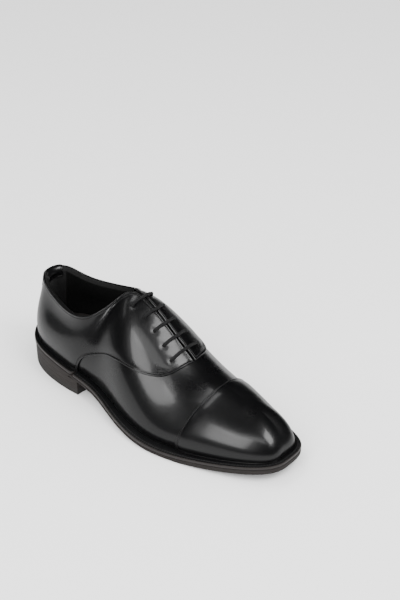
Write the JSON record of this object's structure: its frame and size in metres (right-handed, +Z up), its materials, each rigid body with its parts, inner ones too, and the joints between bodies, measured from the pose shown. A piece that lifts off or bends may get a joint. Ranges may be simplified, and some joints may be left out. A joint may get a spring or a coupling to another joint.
{
  "type": "leather oxford shoe",
  "caption": "Men's leather dress shoe for the right foot: cap toe, closed lacing with straight bars, welted leather sole and stacked heel.",
  "frame": {"origin": "the middle of the sole's outline, at the height of the ground", "axes": "+X to the toe, -Y to the outer (lateral) side, +Z up"},
  "size_m": [0.302, 0.12, 0.1028],
  "materials": {
    "upper_leather": "black calf, polished to a high gloss",
    "lining_leather": "smooth matt black lining leather",
    "suede": "dark suede heel grip",
    "stiffener": "leatherboard",
    "stay_tape": "woven reinforcing tape",
    "lace_cord": "thin waxed black cotton cord",
    "aglet_plastic": "black lace tips",
    "insole_leather": "undyed insole leather",
    "sock_leather": "dark grey-brown sock leather",
    "rib_canvas": "canvas rib",
    "cork": "granulated cork",
    "steel": "spring steel and steel nails",
    "welt_leather": "black welt leather, wheeled and stitched",
    "sole_leather": "dark brown-grey burnished sole leather",
    "heel_rubber": "matt black rubber"
  },
  "bodies": {
    "shoe": {"toe_cap": "upper_leather", "vamp": "upper_leather", "quarter_lateral": "upper_leather", "quarter_medial": "upper_leather", "heel_tab": "upper_leather", "toe_puff": "stiffener", "heel_counter": "stiffener", "facing_stay_lateral": "stay_tape", "facing_stay_medial": "stay_tape", "vamp_lining": "lining_leather", "quarter_lining_lateral": "lining_leather", "quarter_lining_medial": "lining_leather", "heel_grip": "suede", "shoelace": "lace_cord", "aglet_lateral": "aglet_plastic", "aglet_medial": "aglet_plastic", "insole": "insole_leather", "sock_liner": "sock_leather", "rib_strip": "rib_canvas", "cork_filler": "cork", "shank": "steel", "welt": "welt_leather", "heel_seat_rand": "welt_leather", "outsole": "sole_leather", "heel_lift_1": "sole_leather", "heel_lift_2": "sole_leather", "heel_lift_3": "sole_leather", "top_piece": "heel_rubber", "heel_nail_1": "steel", "heel_nail_2": "steel", "heel_nail_3": "steel", "heel_nail_4": "steel"},
    "tongue": {"tongue": "upper_leather", "tongue_lining": "lining_leather"}
  },
  "joints": [
    {"name": "tongue_hinge", "type": "hinge", "parent": "shoe", "child": "tongue", "pos_m": [0.0395, 0.002, 0.0518], "axis": [0, -1, 0], "range_deg": [0, 20], "stiffness_Nm_per_rad": 0.06, "springref_deg": -8.59}
  ]
}
